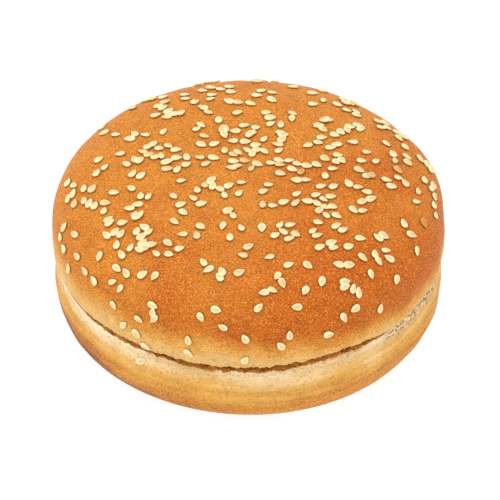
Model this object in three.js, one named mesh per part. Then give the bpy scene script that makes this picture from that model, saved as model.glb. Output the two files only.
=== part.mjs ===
// A sesame burger bun, sliced level into two pieces: a domed crown that lies on a flat-based heel,
// and hulled sesame seeds that are baked onto the crown.
// Millimetres, +Z up. The origin is the middle of the heel's flat base, and -Y is the bun's front.
import * as THREE from "three";

// Driving dimensions
const BUN_DIAMETER = 108; // across the crown at its widest
const BUN_HEIGHT = 46.6; // from the base to the top of the dome
const SLICE_HEIGHT = 20.2; // the middle of the knife cut, above the base
const SLICE_GAP = 0.4; // between the crown's cut face and the heel's
const SEED_LENGTH = 3.2;

// Worked out from them
const CROWN_RADIUS = BUN_DIAMETER / 2;
const CROWN_WIDEST = BUN_HEIGHT * 0.54; // the height at which the crown is widest
const HEEL_RADIUS = CROWN_RADIUS - 0.7; // the crown overhangs the heel a little
const HEEL_WIDEST = BUN_HEIGHT * 0.21;
const BASE_RADIUS = CROWN_RADIUS * 0.885; // the flat that the bun was baked on
const WAIST_RADIUS = CROWN_RADIUS - 2.2; // the pale waist, where the knife went in
const SEED_WIDTH = SEED_LENGTH * 0.6;
const SEED_THICKNESS = SEED_LENGTH * 0.27;

// How full each quarter of the outline is: 1 is a straight chamfer, 2 an ellipse, over 3 nearly square.
const DOME_FULLNESS = 3.3;
const LIP_FULLNESS = 1.7;
const FOOT_FULLNESS = 1.8;

const FACETS = 60; // round the bun
const SEED_CLEARANCE = 0.2; // between a seed and the crust under it

// The seeds that lie alone, from the back of the dome to its front: how far right and how far back
// of the middle each one lies, and which way its point faces, in degrees from +X.
const LONE_SEEDS = [
  [2.3, 45, 0], [12.3, 42, 180], [-7.7, 39, -10], [17.8, 38.3, 0],
  [-23.7, 37, 10], [6.6, 36.5, -20], [20.7, 34.2, 90], [-17.4, 34, 0],
  [-32, 33.5, -60], [24.7, 32.3, -35], [6.5, 32, -30], [-3, 26, 20],
  [12, 23.4, -90], [-8.3, 22.5, 90], [41.5, 19.5, -50], [-39.8, 22, 180],
  [-23.3, 17.7, 60], [-28.5, 16.7, 170], [38, 14.8, -40], [4.4, 13.6, 60],
  [28.6, 13.2, 180], [16.3, 10.8, 200], [-6.6, 8.5, 90], [-41, 8.2, 10],
  [4.6, 8, -45], [47.9, 3.5, 90], [35, 5.3, 45], [-13.4, 5, 180],
  [-33.5, 3.8, 130], [32.5, -2, 0], [8.7, -2, -20], [20.8, -2.5, 100],
  [46, -2.8, 100], [-18.3, -4.8, 15], [-36.5, -7.5, -10], [13.2, -10.5, 30],
  [-2.5, -10.7, 60], [-20.2, -11.5, -50], [-12.8, -15, 10], [41.8, -17.5, 115],
  [-34, -19.8, 10], [-19.9, -21.5, -40], [18.8, -22, -15], [3.6, -24.7, -90],
  [30, -26.5, 0], [36.8, -28.3, 0], [-5, -28.3, 90], [-40, -28.5, 230],
  [0, -32, 30], [32.7, -36.5, -60], [-12.2, -36.8, 110], [-28.2, -37.5, 30],
  [10.7, -37.5, 20], [19.5, -41.7, -90], [15, -44.5, -100], [12.8, -48.3, 170],
  [2.8, -49.2, 70], [-8.6, -49.3, -30],
];

// One quarter of a superellipse, from its upright end at `side` to its level end at `level`.
function quarter(side, level, fullness, steps) {
  const points = [];
  for (let i = 0; i <= steps; i++) {
    const turn = ((i / steps) * Math.PI) / 2;
    const c = Math.cos(turn);
    const s = Math.sin(turn);
    const reach = (c ** fullness + s ** fullness) ** (-1 / fullness);
    const out = level.x + (side.x - level.x) * c * reach;
    const up = side.y + (level.y - side.y) * s * reach;
    points.push(new THREE.Vector2(out, up));
  }
  return points;
}

// The crown's outline, from the middle of its cut face out and up to the top of the dome.
function crownOutline() {
  const cut = SLICE_HEIGHT + SLICE_GAP / 2;
  const rim = new THREE.Vector2(WAIST_RADIUS, cut);
  const widest = new THREE.Vector2(CROWN_RADIUS, CROWN_WIDEST);
  const top = new THREE.Vector2(0, BUN_HEIGHT);
  const lip = quarter(widest, rim, LIP_FULLNESS, 5).reverse();
  const dome = quarter(widest, top, DOME_FULLNESS, 16).slice(1);
  return [new THREE.Vector2(0, cut), ...lip, ...dome];
}

// The heel's outline, from the middle of its base out and up to the middle of its cut face.
function heelOutline() {
  const cut = SLICE_HEIGHT - SLICE_GAP / 2;
  const foot = new THREE.Vector2(BASE_RADIUS, 0);
  const widest = new THREE.Vector2(HEEL_RADIUS, HEEL_WIDEST);
  const rim = new THREE.Vector2(WAIST_RADIUS, cut);
  const side = quarter(widest, foot, FOOT_FULLNESS, 7).reverse();
  const lip = quarter(widest, rim, LIP_FULLNESS, 5).slice(1);
  return [new THREE.Vector2(0, 0), ...side, ...lip, new THREE.Vector2(0, cut)];
}

// How far the bun is out of round at an angle about its axis: the dough spread a little unevenly.
function outOfRound(angle) {
  return 1 + 0.004 * Math.cos(2 * angle + 0.5) + 0.0025 * Math.cos(4 * angle - 1.2);
}

// A solid turned from an outline, then made a little out of round.
function turned(outline) {
  const geometry = new THREE.LatheGeometry(outline, FACETS);
  geometry.rotateX(Math.PI / 2);
  const places = geometry.attributes.position;
  for (let i = 0; i < places.count; i++) {
    const x = places.getX(i);
    const y = places.getY(i);
    const stretch = outOfRound(Math.atan2(y, x));
    places.setXY(i, x * stretch, y * stretch);
  }
  geometry.computeVertexNormals();
  return geometry;
}

// The height of the dome over a point of the plan.
function domeHeight(x, y) {
  const out = Math.hypot(x, y) / (CROWN_RADIUS * outOfRound(Math.atan2(y, x)));
  const rise = (1 - out ** DOME_FULLNESS) ** (1 / DOME_FULLNESS);
  return CROWN_WIDEST + (BUN_HEIGHT - CROWN_WIDEST) * rise;
}

// The way that the dome faces over a point of the plan.
function domeNormal(x, y) {
  const step = 0.05;
  const fallX = domeHeight(x - step, y) - domeHeight(x + step, y);
  const fallY = domeHeight(x, y - step) - domeHeight(x, y + step);
  return new THREE.Vector3(fallX, fallY, 2 * step).normalize();
}

// A row of numbers from 0 to 1 that is the same each time, so that each seed keeps its size.
function sower(start) {
  let state = start;
  return () => {
    state = (state * 16807) % 2147483647;
    return state / 2147483647;
  };
}

// A hulled sesame seed: flat, blunt at one end and drawn to a point at the other, lying along X.
function seedGeometry() {
  const geometry = new THREE.SphereGeometry(1, 8, 6);
  geometry.rotateZ(-Math.PI / 2);
  const places = geometry.attributes.position;
  for (let i = 0; i < places.count; i++) {
    const along = places.getX(i);
    const taper = 1 - 0.32 * along - 0.1 * along * along;
    const across = (places.getY(i) * taper * SEED_WIDTH) / 2;
    const up = (places.getZ(i) * taper * SEED_THICKNESS) / 2;
    places.setXYZ(i, (along * SEED_LENGTH) / 2, across, up);
  }
  geometry.computeVertexNormals();
  return geometry;
}

// Turns and places a seed so that it lies flat on the dome.
function layOnDome(mesh, x, y, heading, size) {
  const normal = domeNormal(x, y);
  const turn = THREE.MathUtils.degToRad(heading);
  const point = new THREE.Vector3(Math.cos(turn), Math.sin(turn), 0);
  const across = new THREE.Vector3().crossVectors(normal, point).normalize();
  const along = new THREE.Vector3().crossVectors(across, normal);
  mesh.quaternion.setFromRotationMatrix(new THREE.Matrix4().makeBasis(along, across, normal));
  mesh.position.set(x, y, domeHeight(x, y));
  mesh.position.addScaledVector(normal, (size * SEED_THICKNESS) / 2 + SEED_CLEARANCE);
  mesh.scale.setScalar(size);
}

const bun = new THREE.Group();

const crown = new THREE.Mesh(
  turned(crownOutline()),
  new THREE.MeshStandardMaterial({ color: 0xd7792f, roughness: 0.5, metalness: 0 }),
);
crown.name = "crown";
bun.add(crown);

const heel = new THREE.Mesh(
  turned(heelOutline()),
  new THREE.MeshStandardMaterial({ color: 0xe2a556, roughness: 0.7, metalness: 0 }),
);
heel.name = "heel";
bun.add(heel);

const seeds = new THREE.Group();
const random = sower(4711);
LONE_SEEDS.forEach(([x, y, heading], i) => {
  const mesh = new THREE.Mesh(
    seedGeometry(),
    new THREE.MeshStandardMaterial({ color: 0xfbeac0, roughness: 0.45, metalness: 0 }),
  );
  mesh.name = `seed_${String(i + 1).padStart(2, "0")}`;
  layOnDome(mesh, x, y, heading, 0.9 + 0.2 * random());
  seeds.add(mesh);
});
bun.add(seeds);

export default bun;
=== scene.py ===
import math
import random

import bpy
from mathutils import Matrix, Vector, noise
from mathutils.bvhtree import BVHTree


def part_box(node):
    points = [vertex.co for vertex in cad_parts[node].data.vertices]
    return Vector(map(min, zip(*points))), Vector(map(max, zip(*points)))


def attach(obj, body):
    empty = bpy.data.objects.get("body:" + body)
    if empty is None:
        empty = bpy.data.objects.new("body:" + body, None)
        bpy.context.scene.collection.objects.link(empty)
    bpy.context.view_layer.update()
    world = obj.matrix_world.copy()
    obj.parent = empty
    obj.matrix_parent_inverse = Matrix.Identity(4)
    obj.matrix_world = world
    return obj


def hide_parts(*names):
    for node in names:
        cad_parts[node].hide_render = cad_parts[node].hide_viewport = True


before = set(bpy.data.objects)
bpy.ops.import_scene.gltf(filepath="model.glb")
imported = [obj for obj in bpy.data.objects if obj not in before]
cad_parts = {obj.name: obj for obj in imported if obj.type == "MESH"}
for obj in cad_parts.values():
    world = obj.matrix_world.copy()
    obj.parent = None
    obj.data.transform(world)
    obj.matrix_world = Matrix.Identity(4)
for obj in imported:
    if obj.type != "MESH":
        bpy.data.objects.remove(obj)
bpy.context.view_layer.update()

# ------------------------------------------------------------------------------------------------
# The heel. This is the flat-based lower half of a soft burger bun, one piece of white bread. A flat
# pan browned and levelled its base, its flank rose in warm air and stayed golden, and just under
# the knife cut it is hardly baked at all.

MM = 0.001
TURNS = 640  # faces round the bun, each about half a millimetre wide
heel_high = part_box("heel")[1]
crown_low, crown_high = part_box("crown")
BUN_HEIGHT = crown_high.z
CUT = (heel_high.z + crown_low.z) / 2  # the level of the knife cut
BUN_RADIUS = (crown_high.x - crown_low.x + crown_high.y - crown_low.y) / 4
WAIST_RADIUS = BUN_RADIUS - 2.2 * MM
HEEL_RADIUS = BUN_RADIUS - 0.7 * MM
HEEL_WIDEST = BUN_HEIGHT * 0.21  # the height at which the heel is widest
BASE_RADIUS = BUN_RADIUS * 0.885
FOOT_FULLNESS = 1.8  # 1 is a straight chamfer, 2 an ellipse, over 3 nearly square
HEEL_LIP_FULLNESS = 1.7
FLUSH_RADIUS = BUN_RADIUS - 0.9 * MM  # the skin's radius where the cut stayed shut
TORN_REACH = 12 * MM  # how far in from the waist the cut gapes
SOLID_RINGS, TORN_RINGS = 10, 16  # of points on a cut face, inside that reach and across it
MOUTH = 1.1 * MM  # how far each face stands off the cut at the front
SHUT_GAP = 0.03 * MM  # and how far it does where the cut stayed shut
DROOP = 1.2 * MM  # how far the cut hangs down at the front
PORE_SIZE = 0.85 * MM
PORE_DEPTH = 0.7 * MM
FOLD_DEPTH = 0.45 * MM


def quarter(side, level, fullness, steps):
    """One quarter of a superellipse, from its upright end at side to its level end at level."""
    points = []
    for i in range(steps + 1):
        turn = math.pi / 2 * i / steps
        c, s = math.cos(turn), max(math.sin(turn), 0.0)
        reach = (max(c, 0.0) ** fullness + s ** fullness) ** (-1 / fullness)
        out = level[0] + (side[0] - level[0]) * max(c, 0.0) * reach
        points.append((out, side[1] + (level[1] - side[1]) * s * reach))
    return points


def cut_face(height):
    """A level cut face's points from the middle out, close together where the crumb is torn."""
    solid = WAIST_RADIUS - TORN_REACH
    inner = [solid * i / SOLID_RINGS for i in range(SOLID_RINGS)]
    torn = [solid + TORN_REACH * i / TORN_RINGS for i in range(TORN_RINGS)]
    return [(out, height) for out in inner + torn]


def turned(name, outline):
    """Draws an outline from one point, spins it about the upright axis, and closes it."""
    bpy.ops.object.select_all(action="DESELECT")
    bpy.ops.mesh.primitive_plane_add(size=MM, location=(outline[0][0], 0, outline[0][1]))
    piece = bpy.context.object
    piece.name = name
    bpy.ops.object.transform_apply(location=True, rotation=True, scale=True)
    bpy.ops.object.mode_set(mode="EDIT")
    bpy.ops.mesh.select_all(action="SELECT")
    bpy.ops.mesh.merge(type="CENTER")
    for here, there in zip(outline, outline[1:]):
        step = (there[0] - here[0], 0, there[1] - here[1])
        bpy.ops.mesh.extrude_region_move(TRANSFORM_OT_translate={"value": step})
    bpy.ops.mesh.select_all(action="SELECT")
    bpy.ops.mesh.spin(steps=TURNS, angle=math.tau, center=(0, 0, 0), axis=(0, 0, 1))
    bpy.ops.mesh.select_all(action="SELECT")
    bpy.ops.mesh.remove_doubles(threshold=0.002 * MM)
    bpy.ops.mesh.normals_make_consistent(inside=False)
    bpy.ops.object.mode_set(mode="OBJECT")
    bpy.ops.object.shade_smooth()
    return piece


def smooth_step(low, high, value):
    """Rises smoothly from 0 at low to 1 at high."""
    share = min(max((value - low) / (high - low), 0.0), 1.0)
    return share * share * (3 - 2 * share)


def off_front(x, y):
    """The angle of a place round the bun in degrees, 0 at the front and growing to the right."""
    return math.degrees(math.atan2(x, -y))


def gape(angle):
    """How far the cut stands open, 1 at the front and 0 round the sides and back, by the angle."""
    return smooth_step(-70, -34, angle) ** 0.8 * (1 - smooth_step(32, 49, angle))


def put_out_of_round(piece):
    """The dough spread a little unevenly, as in the two solids."""
    for point in piece.data.vertices:
        angle = math.atan2(point.co.y, point.co.x)
        stretch = 1 + 0.004 * math.cos(2 * angle + 0.5) + 0.0025 * math.cos(4 * angle - 1.2)
        point.co.x *= stretch
        point.co.y *= stretch


def mark(piece, name, share):
    """Gives a piece a named value from 0 to 1 at each of its points, for its material to read."""
    values = [share(point.co) for point in piece.data.vertices]
    piece.data.attributes.new(name, "FLOAT", "POINT").data.foreach_set("value", values)


def swell(piece, name, size, height, share):
    """Pushes a piece's surface in and out in soft lumps of one size, by its share at each point."""
    group = piece.vertex_groups.new(name=name)
    for point in piece.data.vertices:
        weight = share(point.co)
        if weight > 0:
            group.add([point.index], weight, "REPLACE")
    lumps = bpy.data.textures.new(name, "CLOUDS")
    lumps.noise_scale = size
    lumps.noise_depth = 1
    push = piece.modifiers.new(name, "DISPLACE")
    push.texture = lumps
    push.texture_coords = "LOCAL"
    push.vertex_group = name
    push.strength = height
    bpy.context.view_layer.objects.active = piece
    bpy.ops.object.modifier_apply(modifier=push.name)
    piece.vertex_groups.clear()


def tear(piece, level, up):
    """Opens the cut at the front and closes it behind, and leaves its edge ragged with crumb.

    up is 1 for the face above the cut and -1 for the face below it.
    """
    shut = abs(level - CUT) - SHUT_GAP
    for point in piece.data.vertices:
        out = math.hypot(point.co.x, point.co.y)
        near = 1 - smooth_step(0.2 * MM, 3.6 * MM, abs(point.co.z - level))
        near *= smooth_step(WAIST_RADIUS - TORN_REACH, WAIST_RADIUS - 1.5 * MM, out)
        if near == 0:
            continue
        open_share = gape(off_front(point.co.x, point.co.y))
        coarse = noise.noise(point.co / (3.5 * MM) + Vector((0, 0, 7 * up)))
        fine = noise.noise(point.co / (1.3 * MM) + Vector((0, 0, 9 * up)))
        ragged = abs(noise.noise(point.co / (0.9 * MM) + Vector((0, 0, 5 * up))))
        rough = (0.5 * coarse + 0.55 * fine - 0.9 * ragged) * MM
        lift = open_share * (MOUTH + rough) - (1 - open_share) * shut
        point.co.z += up * near * lift


def fill_out(piece, level):
    """Brings the skin out nearly flush where the cut stayed shut and the two halves still join."""
    for point in piece.data.vertices:
        way_out = Vector((point.co.x, point.co.y, 0))
        share = 1 - smooth_step(MM, 5.5 * MM, abs(point.co.z - level))
        share *= smooth_step(WAIST_RADIUS - MM, WAIST_RADIUS - 0.2 * MM, way_out.length)
        angle = off_front(point.co.x, point.co.y)
        share *= 1 - smooth_step(-62, -30, angle) * (1 - smooth_step(28, 46, angle))
        point.co += way_out.normalized() * share * max(FLUSH_RADIUS - way_out.length, 0)


def dip(piece):
    """Lowers the cut a little at the front, where the bun's edge has drooped."""
    for point in piece.data.vertices:
        angle = off_front(point.co.x, point.co.y)
        share = smooth_step(-75, -5, angle) * (1 - smooth_step(-5, 32, angle))
        share *= 1 - smooth_step(1.5 * MM, 7 * MM, abs(point.co.z - CUT))
        out = math.hypot(point.co.x, point.co.y)
        share *= smooth_step(WAIST_RADIUS - 1.6 * TORN_REACH, WAIST_RADIUS, out)
        point.co.z -= share * DROOP


def pit(piece):
    """Opens pores in the heel's edge at the right, where the skin tore and the cut stayed shut."""
    torn, pores = [], []
    for point in piece.data.vertices:
        angle = off_front(point.co.x, point.co.y)
        zone = smooth_step(42, 50, angle) * (1 - smooth_step(70, 84, angle))
        zone *= 1 - smooth_step(2.2 * MM, 5.2 * MM, CUT - point.co.z)
        zone *= smooth_step(WAIST_RADIUS - MM, WAIST_RADIUS, math.hypot(point.co.x, point.co.y))
        depth = zone * smooth_step(0.07, 0.22, noise.noise(point.co / PORE_SIZE))
        torn.append(zone)
        pores.append(depth)
        point.co -= Vector((point.co.x, point.co.y, 0)).normalized() * depth * PORE_DEPTH
    piece.data.attributes.new("torn_skin", "FLOAT", "POINT").data.foreach_set("value", torn)
    # The depth of each pore is kept too, for the painted shade inside it.
    piece.data.attributes.new("pore_shade", "FLOAT", "POINT").data.foreach_set("value", pores)


def gather(piece, low, high):
    """Gathers the skin in shallow level folds between two heights, as the dough settled there."""
    for point in piece.data.vertices:
        share = smooth_step(low, low + 2 * MM, point.co.z)
        share *= 1 - smooth_step(high - 4 * MM, high, point.co.z)
        if share > 0 and math.hypot(point.co.x, point.co.y) > BASE_RADIUS:
            fold = noise.noise(Vector((point.co.x / 12, point.co.y / 12, point.co.z / 2.2)) / MM)
            out = Vector((point.co.x, point.co.y, 0)).normalized()
            point.co += out * fold * share * FOLD_DEPTH


def linear(hex_colour):
    """An sRGB hex colour as the linear RGBA that a shader takes."""
    channels = [int(hex_colour[i : i + 2], 16) / 255 for i in (1, 3, 5)]
    return [c / 12.92 if c <= 0.04045 else ((c + 0.055) / 1.055) ** 2.4 for c in channels] + [1]


PLUS = {"operation": "ADD"}
TIMES = {"operation": "MULTIPLY"}
ALONG = {"operation": "DOT_PRODUCT"}  # how far a place lies in one direction
EASED = {"interpolation_type": "SMOOTHSTEP"}  # a value's smoothed way from one end to the other
COLOURS = {"data_type": "RGBA"}  # a blend of colour 6 into colour 7 by share 0


def add(tree, kind, settings={}, inputs=(), stops=()):
    """Adds a node: its settings, its inputs as values or links, and a colour ramp's stops.

    The inputs are a list in the node's own order, or are given by their names or numbers.
    """
    made = tree.nodes.new("ShaderNode" + kind)
    for name, value in settings.items():
        setattr(made, name, value)
    for socket, value in inputs.items() if isinstance(inputs, dict) else enumerate(inputs):
        if isinstance(value, bpy.types.NodeSocket):
            tree.links.new(value, made.inputs[socket])
        else:
            made.inputs[socket].default_value = value
    for i, (place, colour) in enumerate(stops):
        ramp = made.color_ramp.elements
        stop = ramp[i] if i < len(ramp) else ramp.new(place)
        stop.position = place
        stop.color = colour
    return made.outputs


def bread(
    name,
    low,
    high,
    stops,
    patch,
    patch_heights,
    grain_heights,
    side_rise,
    tilt,
    left_front_drop,
    left_stretch,
    streaks,
):
    """Baked white bread. Its crust has a fine grain of blisters, and its colour follows its height.

    stops are the crust's colours from the height low to high, and all sizes are in millimetres.
    patch is the colour of the hotter side of the oven, which comes in over patch_heights, as the
    blisters do over grain_heights. The rest says where the colours come sooner or later: side_rise
    is added to the height at the sides and back, and tilt is added for each millimetre from the
    middle. left_front_drop is taken off at the left front, left_stretch draws the colours
    together at the left, and streaks is how far they wander in level bands.
    """
    made = bpy.data.materials.new(name)
    made.use_nodes = True
    tree = made.node_tree
    tree.nodes.clear()
    place = add(tree, "TexCoord")["Object"]
    mm = add(tree, "VectorMath", {"operation": "SCALE"}, {0: place, "Scale": 1 / MM})[0]
    upright = add(tree, "SeparateXYZ", {}, [mm])["Z"]
    level = add(tree, "VectorMath", TIMES, [mm, (1, 1, 0)])[0]
    radius = add(tree, "VectorMath", {"operation": "LENGTH"}, [level])["Value"]

    # Soft patterns from 0 to 1, named by the size of their lumps, with how detailed each one is.
    clouds = {}
    details = {18: 2, 14: 2, 9: 3, 5: 2, 4: 2, 0.8: 1, 0.6: 1, 0.45: 1, 0.28: 0}
    for size, detail in details.items():
        pattern = {"Vector": mm, "Scale": 1 / size, "Detail": detail}
        clouds[size] = add(tree, "TexNoise", {}, pattern)["Fac"]
    flattened = add(tree, "VectorMath", TIMES, [mm, (0.1, 0.1, 1)])[0]
    pattern = {"Vector": flattened, "Scale": 1 / 2.2, "Detail": 3}
    bands = add(tree, "TexNoise", {}, pattern)["Fac"]

    # How high up the bun this place is, as far as its browning goes: the height itself, changed at
    # the sides and back, from side to side, at the left front, and at the left above 17 mm, and
    # wandering by a millimetre or so.
    front = add(tree, "VectorMath", ALONG, [mm, (0, -1, 0)])["Value"]
    rise = add(tree, "MapRange", EASED, [front, 40, 14, 0, side_rise])[0]
    height = add(tree, "Math", PLUS, [upright, rise])[0]
    leaning = add(tree, "VectorMath", ALONG, [mm, tilt])["Value"]
    height = add(tree, "Math", PLUS, [height, leaning])[0]
    left_front = add(tree, "VectorMath", ALONG, [mm, (-0.55, -0.83, 0)])["Value"]
    drop = add(tree, "MapRange", EASED, [left_front, 38, 53, 0, -left_front_drop])[0]
    height = add(tree, "Math", PLUS, [height, drop])[0]
    left = add(tree, "VectorMath", ALONG, [mm, (-1, 0, 0)])["Value"]
    stretch = add(tree, "MapRange", EASED, [left, 10, 45, 0, left_stretch])[0]
    above = add(tree, "Math", PLUS, [upright, -17])[0]
    lift = add(tree, "Math", TIMES, [above, stretch])[0]
    lift = add(tree, "Math", {"operation": "MINIMUM"}, [lift, 1.2])[0]
    height = add(tree, "Math", PLUS, [height, lift])[0]
    for pattern, most in ((clouds[14], 1.5), (clouds[4], 0.5), (bands, streaks)):
        wander = add(tree, "MapRange", EASED, [pattern, 0.3, 0.7, -most, most])[0]
        height = add(tree, "Math", PLUS, [height, wander])[0]
    share = add(tree, "MapRange", {}, [height, low, high])[0]
    crust = add(tree, "ValToRGB", {}, [share], stops)["Color"]

    # The side toward the heat is browned more, in broad uneven patches, and everywhere there are
    # smaller scorched ones.
    browned = add(tree, "MapRange", EASED, [height, *patch_heights])[0]
    toward_heat = add(tree, "VectorMath", ALONG, [mm, (0.5, -0.75, 0)])["Value"]
    sway = add(tree, "MapRange", EASED, [clouds[18], 0.3, 0.7, -14, 14])[0]
    toward_heat = add(tree, "Math", PLUS, [toward_heat, sway])[0]
    hot = add(tree, "MapRange", EASED, [toward_heat, -10, 48])[0]
    hot = add(tree, "Math", TIMES, [hot, browned])[0]
    crust = add(tree, "Mix", COLOURS, {0: hot, 6: crust, 7: patch})[2]
    scorch = add(tree, "MapRange", EASED, [clouds[9], 0.52, 0.7])[0]
    lightly = add(tree, "Math", TIMES, [browned, 0.4])[0]
    scorch = add(tree, "Math", TIMES, [scorch, lightly])[0]
    crust = add(tree, "Mix", COLOURS, {0: scorch, 6: crust, 7: patch})[2]

    # The grain of the skin: blisters half a millimetre across, strongest where it is brown. Real
    # ones are finer, and are drawn as coarse as it takes to show. The palest of them are painted
    # nearly gold, a painted highlight for their shine.
    coarse = add(tree, "Math", TIMES, [clouds[0.45], 0.5])[0]
    fine = add(tree, "Math", TIMES, [clouds[0.28], 0.5])[0]
    grain = add(tree, "Math", PLUS, [coarse, fine])[0]
    baked = add(tree, "MapRange", EASED, [height, *grain_heights])[0]
    strength = add(tree, "MapRange", EASED, [baked, 0, 1, 0.14, 0.36])[0]
    tone = add(tree, "MapRange", EASED, [grain, 0.3, 0.7, -1, 1])[0]
    tone = add(tree, "Math", TIMES, [tone, strength])[0]
    mottle = add(tree, "MapRange", EASED, [clouds[5], 0.3, 0.7, 0.95, 1.05])[0]
    tone = add(tree, "Math", PLUS, [tone, mottle])[0]
    most = 0.05 * streaks
    streaked = add(tree, "MapRange", EASED, [bands, 0.3, 0.7, -most, most])[0]
    tone = add(tree, "Math", PLUS, [tone, streaked])[0]
    crust = add(tree, "VectorMath", {"operation": "SCALE"}, {0: crust, "Scale": tone})[0]
    # Painted highlight: the palest of the grain is mixed toward a pale gold, for the blisters'
    # shine.
    painted_highlight = add(tree, "MapRange", EASED, [grain, 0.52, 0.74])[0]
    strength = add(tree, "MapRange", EASED, [baked, 0, 1, 0.12, 0.36])[0]
    painted_highlight = add(tree, "Math", TIMES, [painted_highlight, strength])[0]
    crust = add(tree, "Mix", COLOURS, {0: painted_highlight, 6: crust, 7: linear("#f8bb6c")})[2]

    # Some larger blisters that burst and paled, and painted shade for the pits of the skin that is
    # hardly baked: dark specks on its pale parts.
    blister = add(tree, "TexVoronoi", {}, {"Vector": mm, "Scale": 1 / 0.7})
    chosen = add(tree, "SeparateColor", {}, [blister["Color"]])[0]
    chosen = add(tree, "MapRange", EASED, [chosen, 0.45, 0.9])[0]
    fleck = add(tree, "MapRange", EASED, [blister["Distance"], 0.5, 0.1])[0]
    fleck = add(tree, "Math", TIMES, [fleck, chosen])[0]
    burst = add(tree, "Math", TIMES, [fleck, browned])[0]
    burst = add(tree, "Math", TIMES, [burst, 0.5])[0]
    crust = add(tree, "Mix", COLOURS, {0: burst, 6: crust, 7: linear("#f5b566")})[2]
    # Painted shade: dark olive specks for the shade in the pits of the pale skin.
    hollow_shade = add(tree, "MapRange", EASED, [clouds[0.8], 0.57, 0.68])[0]
    unbaked = add(tree, "MapRange", EASED, [browned, 1, 0])[0]
    hollow_shade = add(tree, "Math", TIMES, [hollow_shade, unbaked])[0]
    hollow_shade = add(tree, "Math", TIMES, [hollow_shade, 0.45])[0]
    crust = add(tree, "Mix", COLOURS, {0: hollow_shade, 6: crust, 7: linear("#a4854a")})[2]

    # The open crumb of the cut faces. Its holes are painted darker, as painted shade, and in the
    # mouth of the cut it is painted a darker brown, as painted shade in the gap.
    cells = add(tree, "TexVoronoi", {}, {"Vector": mm, "Scale": 1 / 1.5})["Distance"]
    walls = add(tree, "MapRange", EASED, [cells, 0.15, 0.5])[0]
    # Painted shade: the middles of the crumb's holes are darker.
    white = {0: walls, 6: linear("#b98a4c"), 7: linear("#f4e2bb")}
    crumb = add(tree, "Mix", COLOURS, white)[2]
    # Painted shade: these browns stand for the shade in the gap of the cut.
    toast = {0: walls, 6: linear("#b26b22"), 7: linear("#dc9a45")}
    shaded_crumb = add(tree, "Mix", COLOURS, toast)[2]
    mouth = add(tree, "MapRange", EASED, [radius, 44, 49])[0]
    crumb = add(tree, "Mix", COLOURS, {0: mouth, 6: crumb, 7: shaded_crumb})[2]
    cut = add(tree, "Attribute", {"attribute_name": "crumb"})["Fac"]
    colour = add(tree, "Mix", COLOURS, {0: cut, 6: crust, 7: crumb})[2]

    # The torn skin at the right, with painted shade in its pores, and a dark ring round the seeds:
    # painted shade at each seed's foot, and egg wash that browned there.
    bared = add(tree, "Attribute", {"attribute_name": "torn_skin"})["Fac"]
    torn = add(tree, "Math", TIMES, [bared, 0.6])[0]
    colour = add(tree, "Mix", COLOURS, {0: torn, 6: colour, 7: linear("#eed0a0")})[2]
    # Painted shade: the fine pits and the deeper pores of the torn skin are painted dark brown.
    fine_pore_shade = add(tree, "MapRange", EASED, [clouds[0.6], 0.54, 0.62])[0]
    torn = add(tree, "Math", TIMES, [bared, 0.75])[0]
    fine_pore_shade = add(tree, "Math", TIMES, [fine_pore_shade, torn])[0]
    colour = add(tree, "Mix", COLOURS, {0: fine_pore_shade, 6: colour, 7: linear("#8c6022")})[2]
    pore_shade = add(tree, "Attribute", {"attribute_name": "pore_shade"})["Fac"]
    pore_shade = add(tree, "Math", TIMES, [pore_shade, 0.85])[0]
    colour = add(tree, "Mix", COLOURS, {0: pore_shade, 6: colour, 7: linear("#6a4214")})[2]
    # Painted shade round each seed's foot, with egg wash that browned there: a dark brown ring.
    wash_and_shade = add(tree, "Attribute", {"attribute_name": "wash_and_shade"})["Fac"]
    strength = add(tree, "MapRange", EASED, [browned, 0, 1, 0.25, 0.85])[0]
    wash_and_shade = add(tree, "Math", TIMES, [wash_and_shade, strength])[0]
    colour = add(tree, "Mix", COLOURS, {0: wash_and_shade, 6: colour, 7: linear("#83500f")})[2]

    # The relief of all these, and a dull satin that is a little smoother on the blisters.
    bumps = add(tree, "Math", TIMES, [grain, 0.5])[0]
    bursts = add(tree, "Math", TIMES, [fleck, 0.3])[0]
    relief = add(tree, "Math", PLUS, [bumps, bursts])[0]
    open_crumb = add(tree, "Math", TIMES, [walls, cut])[0]
    open_crumb = add(tree, "Math", TIMES, [open_crumb, 3.0])[0]
    relief = add(tree, "Math", PLUS, [relief, open_crumb])[0]
    bump = {"Strength": 0.5, "Distance": 0.25 * MM, "Height": relief}
    normal = add(tree, "Bump", {}, bump)[0]
    rough = add(tree, "MapRange", EASED, [grain, 0.3, 0.7, 0.62, 0.48])[0]
    skin = {"Base Color": colour, "Roughness": rough, "IOR": 1.45, "Specular IOR Level": 0.15}
    surface = add(tree, "BsdfPrincipled", {}, {**skin, "Normal": normal})["BSDF"]
    add(tree, "OutputMaterial", {}, {"Surface": surface})
    return made


BASE_RINGS = 24  # of points on the flat of the base
heel_outline = [(BASE_RADIUS * i / BASE_RINGS, 0) for i in range(BASE_RINGS)]
heel_side = (HEEL_RADIUS, HEEL_WIDEST)
heel_outline += quarter(heel_side, (BASE_RADIUS, 0), FOOT_FULLNESS, steps=26)[::-1]
heel_lip = (WAIST_RADIUS, heel_high.z)
heel_outline += quarter(heel_side, heel_lip, HEEL_LIP_FULLNESS, steps=24)[1:]
heel_outline += cut_face(heel_high.z)[::-1]
heel = turned("heel_bread", heel_outline)
mark(heel, "crumb", lambda place: float(abs(place.z - heel_high.z) < 0.001 * MM))
put_out_of_round(heel)


def heel_flank(place):
    """Where the heel's surface is free to swell, from 0 at its base and its cut to 1 between."""
    return smooth_step(0, 7 * MM, place.z) * smooth_step(0, 4 * MM, CUT - place.z)


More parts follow.
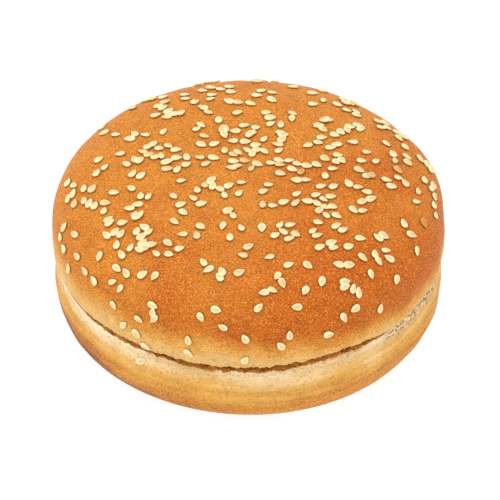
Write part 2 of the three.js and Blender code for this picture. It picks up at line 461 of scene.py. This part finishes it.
swell(heel, "rise", size=18 * MM, height=1.1 * MM, share=heel_flank)
gather(heel, low=2 * MM, high=CUT)
tear(heel, heel_high.z, up=-1)
fill_out(heel, heel_high.z)
dip(heel)
pit(heel)
heel_crust = bread(
    "baked white bread, pan side",
    low=0,
    high=21,
    stops=[
        (0.0, linear("#8f4f18")),
        (0.06, linear("#a96222")),
        (0.2, linear("#be772c")),
        (0.45, linear("#db9e48")),
        (0.58, linear("#e2aa55")),
        (0.7, linear("#e8bf7f")),
        (0.95, linear("#f3dbb1")),
        (1.0, linear("#f6e2be")),
    ],
    patch=linear("#cd8634"),
    patch_heights=(11, 4),
    grain_heights=(13, 5),
    side_rise=-1.2,
    tilt=(-0.02, 0, 0),
    left_front_drop=0.0,
    left_stretch=0.6,
    streaks=1.2,
)
heel.data.materials.append(heel_crust)
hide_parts("heel")
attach(heel, "root")

# ------------------------------------------------------------------------------------------------
# The crown. This is the domed upper half, one piece with a glossy brown skin: it was brushed with
# egg before it was baked. The skin pales to a cream lip just above the knife cut.

CROWN_WIDEST = BUN_HEIGHT * 0.54
CROWN_LIP_FULLNESS = 2.4
DOME_FULLNESS = 3.3

crown_outline = cut_face(crown_low.z)
crown_side = (BUN_RADIUS, CROWN_WIDEST)
crown_lip = (WAIST_RADIUS, crown_low.z)
crown_outline += quarter(crown_side, crown_lip, CROWN_LIP_FULLNESS, steps=15)[::-1]
crown_outline += quarter(crown_side, (0, BUN_HEIGHT), DOME_FULLNESS, steps=92)[1:]
crown = turned("crown_bread", crown_outline)
mark(crown, "crumb", lambda place: float(abs(place.z - crown_low.z) < 0.001 * MM))
put_out_of_round(crown)


def crown_flank(place):
    """Where the crown's surface is free to rise, from 0 at its cut to 1 all over the dome."""
    return smooth_step(0, 4 * MM, place.z - CUT)


def crown_skin(place):
    """Where the crown's skin wrinkled as it cooled, from 0 at the lip to 1 all over the dome."""
    return smooth_step(3 * MM, 7 * MM, place.z - CUT)


swell(crown, "rise", size=20 * MM, height=1.2 * MM, share=crown_flank)
swell(crown, "skin", size=7 * MM, height=0.25 * MM, share=crown_skin)
gather(crown, low=CUT, high=30 * MM)
tear(crown, crown_low.z, up=1)
fill_out(crown, crown_low.z)
dip(crown)
crown_crust = bread(
    "baked white bread, egg washed",
    low=20,
    high=34,
    stops=[
        (0.0, linear("#e3b872")),
        (0.2, linear("#e3b269")),
        (0.38, linear("#dfa04c")),
        (0.55, linear("#da9135")),
        (0.75, linear("#c97824")),
        (1.0, linear("#cb7c26")),
    ],
    patch=linear("#bf5f11"),
    patch_heights=(24, 33),
    grain_heights=(20, 28),
    side_rise=-0.2,
    tilt=(0.03, 0, 0),
    left_front_drop=1.2,
    left_stretch=0.0,
    streaks=0.4,
)
crown.data.materials.append(crown_crust)
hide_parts("crown")
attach(crown, "root")

# ------------------------------------------------------------------------------------------------
# The sesame seeds. Each is a hulled seed, a flat ivory teardrop about 3 mm long, shaken over the
# wet egg wash by hand, so that they lie singly, touching and heaped. The oven fixed them there.

SEED_LENGTH = 3.1 * MM
SEED_WIDTH = 0.64 * SEED_LENGTH
SEED_THICKNESS = 0.32 * SEED_LENGTH
SUNK = 0.12 * MM  # how deep a seed is bedded in the crust
TIP_SHARPNESS = 0.3  # 0 is as blunt at the tip as at the other end
HEAP_LIFT = 0.6 * SEED_THICKNESS  # how much higher a seed lies on another
WASH_AND_SHADE_REACH = 0.65 * MM  # how far from a seed the dark ring reaches: painted shade, and egg wash that gathered

bpy.ops.object.select_all(action="DESELECT")
bpy.ops.mesh.primitive_uv_sphere_add(
    segments=10, ring_count=7, radius=0.5, rotation=(0, math.pi / 2, 0)
)
master_seed = bpy.context.object
master_seed.name = "master_seed"
bpy.ops.object.transform_apply(location=True, rotation=True, scale=True)
rings = sorted({round(point.co.x, 4) for point in master_seed.data.vertices})
for ring in rings[1:-1]:
    taper = (1 - 2 * ring) ** TIP_SHARPNESS
    bpy.ops.object.mode_set(mode="EDIT")
    bpy.ops.mesh.select_mode(type="VERT")
    bpy.ops.mesh.select_all(action="DESELECT")
    bpy.ops.object.mode_set(mode="OBJECT")
    for point in master_seed.data.vertices:
        point.select = abs(point.co.x - ring) < 0.001
    bpy.ops.object.mode_set(mode="EDIT")
    bpy.ops.transform.resize(value=(1, taper, taper), center_override=(ring, 0, 0))
    bpy.ops.object.mode_set(mode="OBJECT")
bpy.ops.object.mode_set(mode="EDIT")
bpy.ops.mesh.select_all(action="SELECT")
seed_size = (SEED_LENGTH, SEED_WIDTH, SEED_THICKNESS)
bpy.ops.transform.resize(value=seed_size, center_override=(0, 0, 0))
bpy.ops.object.mode_set(mode="OBJECT")
bpy.ops.object.shade_smooth()
seed_half = max(point.co.y for point in master_seed.data.vertices)


def toward_edge(place):
    """How near a place on the master seed is to its edge, 0 down the middle and 1 at the edge."""
    return min(1, abs(place.y) / seed_half + abs(place.x / SEED_LENGTH * 2) ** 3)


mark(master_seed, "edge", toward_edge)


def sesame():
    """Hulled sesame: a smooth ivory skin with a soft shine, palest round its edge.

    The middle is a little darker, and toast says how brown the oven left the whole seed.
    """
    made = bpy.data.materials.new("hulled sesame, baked")
    made.use_nodes = True
    tree = made.node_tree
    tree.nodes.clear()
    edge = add(tree, "Attribute", {"attribute_name": "edge"})["Fac"]
    toast = add(tree, "Attribute", {"attribute_name": "toast"})["Fac"]
    ivory = [(0.12, linear("#cdb470")), (0.62, linear("#f8e8b6"))]
    skin = add(tree, "ValToRGB", {}, [edge], ivory)["Color"]
    tan = [(0.0, linear("#ffffff")), (1.0, linear("#e2a25c"))]
    browned = add(tree, "ValToRGB", {}, [toast], tan)["Color"]
    both = {0: 1, 6: skin, 7: browned}
    tint = add(tree, "Mix", {**COLOURS, "blend_type": "MULTIPLY"}, both)[2]
    surface = {"Base Color": tint, "Roughness": 0.42, "IOR": 1.47}
    shader = add(tree, "BsdfPrincipled", {}, surface)["BSDF"]
    add(tree, "OutputMaterial", {}, {"Surface": shader})
    return made


sesame_skin = sesame()
master_seed.data.materials.append(sesame_skin)

strew = random.Random(20)
crust_shape = BVHTree.FromObject(crown, bpy.context.evaluated_depsgraph_get())
heel_shape = BVHTree.FromObject(heel, bpy.context.evaluated_depsgraph_get())
laid = []  # where each seed's middle lies


def lay(name, spot, normal, way, toast):
    """Lays a copy of the master seed on the crust, its tip one way, leaning on any seed there."""
    far_away = spot + Vector((1, 0, 0))
    nearest = min(laid, key=lambda other: (other - spot).length, default=far_away)
    heaped = 1 - smooth_step(0.8 * MM, 2.2 * MM, (nearest - spot).length)
    up = (normal - (nearest - spot).normalized() * 0.35 * heaped).normalized()
    across = up.cross(way).normalized()
    along = across.cross(up)
    tilt = Matrix.Rotation(strew.uniform(-0.08, 0.08), 3, "Y")
    roll = Matrix.Rotation(strew.uniform(-0.12, 0.12), 3, "X")
    turn = Matrix((along, across, up)).transposed() @ tilt @ roll
    size = strew.uniform(0.86, 1.08)
    shape = Matrix.Diagonal((size, size * strew.uniform(0.9, 1.1), size))
    lift = SEED_THICKNESS / 2 - SUNK + heaped * HEAP_LIFT
    mesh = master_seed.data.copy()
    mesh.transform(Matrix.Translation(spot + normal * lift) @ (turn @ shape).to_4x4())
    values = [toast] * len(mesh.vertices)
    mesh.attributes.new("toast", "FLOAT", "POINT").data.foreach_set("value", values)
    seed = bpy.data.objects.new(name, mesh)
    bpy.context.scene.collection.objects.link(seed)
    laid.append(spot)
    return seed


def lay_on_dome(name, right, back, heading, toast):
    """Lays a seed on the dome under a place of the plan, with its tip at a heading in degrees."""
    above = Vector((right, back, 2 * BUN_HEIGHT))
    spot, normal, _, _ = crust_shape.ray_cast(above, Vector((0, 0, -1)))
    turn = math.radians(heading)
    return lay(name, spot, normal, Vector((math.cos(turn), math.sin(turn), 0)), toast)


def lay_on_flank(name, shape, angle, height, heading, toast):
    """Lays a seed on a flank at an angle off the front and a height, its tip at 90 if it is up."""
    turn = math.radians(angle)
    out = Vector((math.sin(turn), -math.cos(turn), 0))
    spot, normal, _, _ = shape.ray_cast(out * 2 * BUN_RADIUS + Vector((0, 0, height)), -out)
    tip = math.radians(heading)
    level = Vector((math.cos(turn), math.sin(turn), 0)) * math.cos(tip)
    return lay(name, spot, normal, level + Vector((0, 0, math.sin(tip))), toast)


single_seeds = []  # each in the place of its solid, most of them pale and a few a little toasted
for node_name in sorted(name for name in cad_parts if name.startswith("seed_")):
    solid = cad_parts[node_name]
    low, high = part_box(node_name)
    middle = (low + high) / 2
    corners = [point.co for point in solid.data.vertices]
    tip = max(corners, key=lambda corner: (corner - middle).length)
    heading = math.degrees(math.atan2(tip.y - middle.y, tip.x - middle.x))
    toast = 0.3 * strew.random() ** 3
    seed = lay_on_dome("sesame_" + node_name[-2:], middle.x, middle.y, heading, toast)
    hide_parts(node_name)
    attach(seed, "root")
    single_seeds.append(seed)

# The drifts, seed by seed: how far right and back of the middle each lies, in millimetres, and the
# heading of its tip in degrees, 0 to the right and 90 to the back.
DRIFTS = [
    # back, left of the middle
    (-28.6, 37.8, 180), (-26.9, 37.6, 0), (-23.3, 33.3, 10), (-25, 31.3, 15), (-23.8, 29.8, 40),
    (-22.2, 27.6, 40), (-25.8, 26.4, 20), (-22.6, 25, 190), (-20.2, 26, 10), (-40.6, 27.3, 60),
    (-36.6, 19, -20), (-31.5, 17.7, 130), (-32.8, 15.5, 170), (-14, 46.5, 0), (-11.3, 48.5, 5),
    (-9, 48.8, 0), (-12.8, 39, 0), (-10.4, 41, -20), (-17.8, 36.8, 5), (-14.9, 31.8, 40),
    (-10.2, 35.5, 10), (-10.6, 33, 20), (-5.3, 40.8, 0), (-4.9, 37, -15), (-5.5, 31.3, 150),
    (-2.9, 30.8, -5), (-18.6, 26, 50), (-12.6, 28.4, 150), (-11.1, 26, -30), (-13.1, 20, -50),
    (-14.3, 18.2, 40), (-12.2, 15, -15), (-13, 11, -40), (-9.4, 11.4, 30), (-7.3, 18.3, 240),
    (-6.2, 17.8, 90), (-6.7, 15.7, -70), (-3.7, 17.1, 175), (-1.2, 19.6, 0), (-4.3, 12.7, 180),
    (-0.9, 12.4, 0),
    # back, right of the middle
    (0.6, 30.2, -30), (4, 49.5, 10), (7.5, 49.3, -10), (3.6, 37.7, 30), (2.3, 34.6, 0),
    (4.9, 25.8, 15), (6, 23.5, 5), (6.1, 20.7, 40), (8.9, 20.6, 90), (12.3, 26, -40),
    (2, 18.6, 20), (1.1, 16.1, 30), (0.5, 15.2, 35), (2, 10.9, 15), (8.8, 16.8, 0),
    (9.5, 15.4, 10), (9.2, 13.5, 45), (8.1, 11.3, 170), (8.4, 8.6, 45), (20.9, 42, 0),
    (18, 31.4, 10), (26.5, 37, -30), (28.3, 35.5, -35), (27, 34.8, 150), (29.5, 35.8, 160),
    (27.3, 30, -15), (29.8, 30.3, 140), (30, 28.2, -15), (22.2, 22.8, 5), (21, 22.3, 170),
    (19.4, 20.2, 0), (20.6, 18.5, -40), (20.2, 14.5, 10), (19.2, 12.2, -15), (23.8, 16, -30),
    (25.5, 17.5, -50), (27.3, 18.7, -70), (28, 20.3, 10), (30.3, 22, -5), (31, 20.2, 40),
    (24.2, 11.5, 180), (22.6, 9.9, 15), (36, 27.5, -20), (38, 27.8, -10), (36.8, 23.8, 10),
    (38.5, 24.8, -35), (41.3, 23.5, -20), (43, 21.8, -45), (43.3, 15.5, -50), (39.7, 10.3, 110),
    (40.2, 7.3, 95), (43.6, 10.6, -35), (43.8, 8, -40), (47.3, 12.3, -50), (49.2, 11.5, -60),
    (32.5, 8.9, 15),
    # left of the middle
    (-26.2, 12.2, 45), (-27.6, 11, 30), (-24.6, 10, -10), (-22, 10.9, -40), (-20, 8.8, 0),
    (-27.5, 7.3, 20), (-29.1, 8.9, 150), (-25.4, 6, 10), (-23.9, 6, 100), (-19.8, 5, 0),
    (-31.3, 5.5, 110), (-29.9, 4.6, 45), (-22, 3.6, 20), (-35.4, 8.8, 180), (-39.4, 4, 50),
    (-41.6, 2.2, 60), (-31.7, -0.8, 55), (-29.4, -2, 45), (-22.5, 2.6, 10), (-22.3, 0.2, 0),
    (-19.5, 0, 60), (-17, 5.4, 100), (-17.1, 2.1, 30), (-9.6, 4.9, -20), (-11.7, 2.3, 30),
    (-49.6, 3.5, 65), (-47.8, 0.3, -40), (-48, -2.8, 60), (-49.3, -3.6, 70), (-47.5, -7, 75),
    (-45, -2.8, 80), (-42.7, -4, 55), (-44.9, -7.5, 100), (-43.4, -9.3, 65), (-41.9, -10.8, 70),
    (-39, -10.8, -20), (-39.3, -13.8, 80), (-32, -6.8, 140), (-29.4, -10.2, 90),
    (-27.2, -10.7, 60), (-30.2, -13.4, 180), (-32.4, -14.5, 170), (-30.8, -17.4, 80),
    (-29.3, -17.6, 60), (-30.2, -18.6, 20), (-14, -9.3, 100), (-15.1, -12.6, 140),
    (-10, -4.8, 50), (-11.6, -7.2, 35), (-10.5, -6.3, 60), (-9.8, -7.8, 80), (-8, -8.8, 150),
    # the middle
    (-4.2, 6.6, -20), (-2.9, 7.2, -40), (-0.4, 8.8, 140), (1.1, 7.2, 60), (2.4, 8.9, 10),
    (-4.1, 3.4, 0), (-4.7, 0.5, 170), (-3, 1.2, 20), (2.4, 2.3, -25), (6.2, 3, 5),
    (8.4, 4.2, -20), (11.2, 4, 15), (13.4, 2.5, -25), (16, 1.6, -20), (18.7, 2.2, -30),
    (12, 0, -30), (-5.4, -7.4, 35), (-1.9, -6, 0), (-6.6, -11.4, 100), (5.5, -7, 10),
    (4, -9.8, 30), (13, -4.8, 170), (15.7, -4.6, -5),
    # right of the middle
    (21, 4.8, -35), (24.5, 6.4, 0), (25.6, 4, -55), (24, 3.2, -50), (31, 4.4, 5), (23.1, 0.4, 5),
    (30.3, 0.3, -25), (37.7, -2.4, 0), (41, -0.3, 10), (42.8, -1.6, 130), (39, -4.7, 10),
    (50, 10.4, 100), (50.6, 3.6, 90), (50.2, 1.6, 45), (50.9, -1.2, -60), (50.6, -4.8, 100),
    (51, -8, 95), (45.8, -7.8, 20), (19.8, -7.2, 15), (23.2, -7, 40), (27.3, -5.6, 120),
    (29.9, -7, -5), (32.2, -8.8, 170), (33.3, -11.3, 25), (31, -12.6, 25), (18.4, -10.9, 20),
    (20.4, -12.6, -35), (22.4, -11.3, 10), (15.9, -13.5, 160), (18.4, -14.2, 140),
    (22.8, -15.2, -15), (19.3, -16.8, 50), (20.9, -15.6, -20), (21, -18.8, 130),
    (23.9, -18.7, -35), (28.5, -16, -45), (31, -16, 20), (44.1, -20.4, -10), (45.5, -24, -60),
    # front, left of the middle
    (-50.2, -12.8, 20), (-51.2, -14, 60), (-47.2, -18, 130), (-50.2, -18.4, 100),
    (-38, -17.6, 25), (-37.6, -19.2, 35), (-36.1, -22.8, 45), (-34.5, -23.9, 55),
    (-38.4, -23.2, 130), (-35.6, -27.2, 75), (-30.2, -23.8, 75), (-28.2, -22.6, 140),
    (-27, -24.5, 45), (-28.9, -26, 35), (-31.8, -29.2, 55), (-34.2, -30.6, 110),
    (-28.6, -28.3, 50), (-27, -29.3, 20), (-27.8, -30.4, 10), (-29.5, -30.4, 140),
    (-26, -29.6, 20), (-24.9, -32.4, 130), (-21.7, -29.2, -45), (-18.6, -31.6, 20),
    (-21.4, -33.2, -25), (-46.4, -24.4, 110), (-44.2, -29, 85), (-41.7, -32.6, 90),
    (-35.4, -33.9, -50), (-32.9, -36, 110), (-36.5, -36.3, 10), (-34.5, -38.6, 220),
    (-25.2, -39.2, 230), (-18.4, -14.9, 20), (-17.7, -18, -45), (-5.6, -18.1, 30),
    (-4.3, -20, 120), (-12.9, -24, -40), (-7, -24, 255), (-2, -24.8, 110), (-17.8, -26.4, 180),
    (-14, -27.2, 100), (-10.7, -39.4, 210), (-7.2, -40.2, 110), (-7.8, -41.9, 120),
    (-1.6, -35.1, 160), (-12.8, -50.3, -85),
    # front, right of the middle
    (3.8, -15.4, 90), (6.6, -15.7, 10), (9.6, -14, 30), (12.8, -14.2, 50), (8.5, -23.4, 60),
    (11.3, -23.3, 20), (9.3, -26, 140), (7.2, -27.5, 40), (12.7, -26.9, -30), (11, -28.6, 25),
    (23.7, -22.9, 40), (25.5, -24.3, 35), (17.4, -25.5, 50), (18.5, -27.2, 25),
    (36.5, -23.8, -20), (35, -25, 145), (19.2, -31.4, 35), (22.3, -29.5, 25), (22.9, -31.2, 10),
    (27, -30.2, 30), (30.7, -32.8, -40), (34, -30.7, 100), (35, -32.5, -50), (37.9, -30.5, 165),
    (39.8, -34.3, -70), (24.2, -36.4, 175), (27, -36, 10), (25.8, -40.7, 15), (25.7, -42, 30),
    (28, -41.6, 95), (29.4, -41.8, 115), (5.6, -35.5, 205), (7.7, -41.3, 240), (9, -43.2, -70),
    (15.9, -37.6, -40), (4.1, -46.2, 190), (6.4, -45.4, -25),
]
# A few seeds caught the heat and are tan, as the first list but with how brown each one is.
TANNED = [
    (-1.1, 3.7, -5, 0.45), (0.8, 0.3, 60, 0.35), (8.6, 2.2, -10, 0.4), (14.4, -1, 60, 0.8),
    (41, 3.2, -45, 0.7), (47.6, -14.3, -55, 1), (-2.5, -40.5, 30, 0.3), (33.4, -2.2, 200, 0.5),
]
# Seeds on the steep flank: how many degrees off the front, how high, and the heading of the tip
# in degrees, 0 to the right and 90 up. The last five lie on the pale lip.
FLANK_SEEDS = [
    (-7.5, 34.5, 155), (-17.6, 29, 95), (-1, 31.5, 115), (9.2, 28.8, 125), (11.8, 31.9, 90),
    (23.3, 29.8, -15), (28.5, 33.3, -70), (32.6, 34.5, 190), (41, 31.4, 65), (-42.7, 31.3, -40),
    (-33.3, 31, -25), (-28.4, 32.9, 240), (-29.5, 36.2, -5), (-29, 34.6, 90), (-64.4, 31, 110),
    (-38.6, 26.7, 60), (-34, 25.8, -40), (-31.1, 22.4, -30), (-1, 24.1, 60), (-17.5, 24.6, -40),
]
drift_seeds = []
for right, back, heading in DRIFTS:
    toast = 0.3 * strew.random() ** 3
    drift_seeds.append(lay_on_dome("drift_seed", right * MM, back * MM, heading, toast))
for right, back, heading, toast in TANNED:
    drift_seeds.append(lay_on_dome("drift_seed", right * MM, back * MM, heading, toast))
for angle, height, heading in FLANK_SEEDS:
    toast = strew.uniform(0, 0.15)
    seed = lay_on_flank("drift_seed", crust_shape, angle, height * MM, heading, toast)
    drift_seeds.append(seed)
# Two fell further, one onto the heel's flank and one into the mouth of the cut.
for angle, height, heading, toast in ((-33.4, 15.5 * MM, 40, 0), (8.5, CUT - 1.6 * MM, 180, 0.2)):
    seed = lay_on_flank("drift_seed", heel_shape, angle, height, heading, toast)
    drift_seeds.append(seed)

# A dark ring round each seed: painted shade at the seed's foot, and egg wash that ran up
# round it and baked darker there.
points, faces = [], []
for seed in single_seeds + drift_seeds:
    faces += [[len(points) + i for i in face.vertices] for face in seed.data.polygons]
    points += [point.co.copy() for point in seed.data.vertices]
seed_shapes = BVHTree.FromPolygons(points, faces)


def wash_and_shade(place):
    """How much painted shade and egg wash a place on the crust has, by how near a seed is."""
    away = seed_shapes.find_nearest(place, WASH_AND_SHADE_REACH + 0.05 * MM)[3]
    return 0 if away is None else 1 - smooth_step(0.1 * MM, WASH_AND_SHADE_REACH, away)


mark(crown, "wash_and_shade", wash_and_shade)

bpy.ops.object.select_all(action="DESELECT")
for seed in drift_seeds:
    seed.select_set(True)
bpy.context.view_layer.objects.active = drift_seeds[0]
bpy.ops.object.join()
drifts = bpy.context.object
drifts.name = "sesame_drifts"
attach(drifts, "root")
bpy.data.objects.remove(master_seed)

# ------------------------------------------------------------------------------------------------
# The table, lamp and camera, which aren't part of the bun. The table is a white sheet of acrylic
# lit from below, under a large soft lamp in a white room, so there is hardly a shadow.

bpy.ops.object.select_all(action="DESELECT")
bpy.ops.mesh.primitive_plane_add(size=6, location=(0, 0, -0.2 * MM))
table = bpy.context.object
table.name = "table"
bpy.ops.object.transform_apply(location=True, rotation=True, scale=True)
# Opal acrylic, lit from below: an even matt white.
white = bpy.data.materials.new("opal acrylic, lit from below")
white.use_nodes = True
opal = white.node_tree.nodes["Principled BSDF"].inputs
opal["Base Color"].default_value = (0.15, 0.15, 0.15, 1)
opal["Roughness"].default_value = 0.8
opal["Emission Color"].default_value = (1, 1, 1, 1)
opal["Emission Strength"].default_value = 0.9
table.data.materials.append(white)

world = bpy.data.worlds.new("studio")
bpy.context.scene.world = world
world.use_nodes = True
world.node_tree.nodes["Background"].inputs["Color"].default_value = (1, 1, 1, 1)
world.node_tree.nodes["Background"].inputs["Strength"].default_value = 1.07


def soft_lamp(name, place, size, power):
    """A large square lamp that faces the bun."""
    data = bpy.data.lights.new(name, "AREA")
    data.size = size
    data.energy = power
    lamp = bpy.data.objects.new(name, data)
    lamp.location = place
    lamp.rotation_euler = (Vector((0, 0, 0.03)) - Vector(place)).to_track_quat("-Z", "Y").to_euler()
    bpy.context.scene.collection.objects.link(lamp)


soft_lamp("key", place=(-0.33, 0.0, 1.1), size=0.9, power=3.3)

CAMERA_DISTANCE = 1.5
CAMERA_RISE = math.radians(40)
SEEN_WIDTH = 0.1397  # how much the picture spans at the bun
FILM_WIDTH = 36
camera_data = bpy.data.cameras.new("camera")
camera_data.sensor_width = FILM_WIDTH
camera_data.lens = FILM_WIDTH * CAMERA_DISTANCE / SEEN_WIDTH
camera = bpy.data.objects.new("camera", camera_data)
camera_back = CAMERA_DISTANCE * math.cos(CAMERA_RISE)
camera.location = (0, -camera_back, CAMERA_DISTANCE * math.sin(CAMERA_RISE))
aim = Vector((0.0004, 0, 0.0181))
camera.rotation_euler = (aim - camera.location).to_track_quat("-Z", "Y").to_euler()
bpy.context.scene.collection.objects.link(camera)
bpy.context.scene.camera = camera
bpy.context.scene.view_settings.view_transform = "Standard"
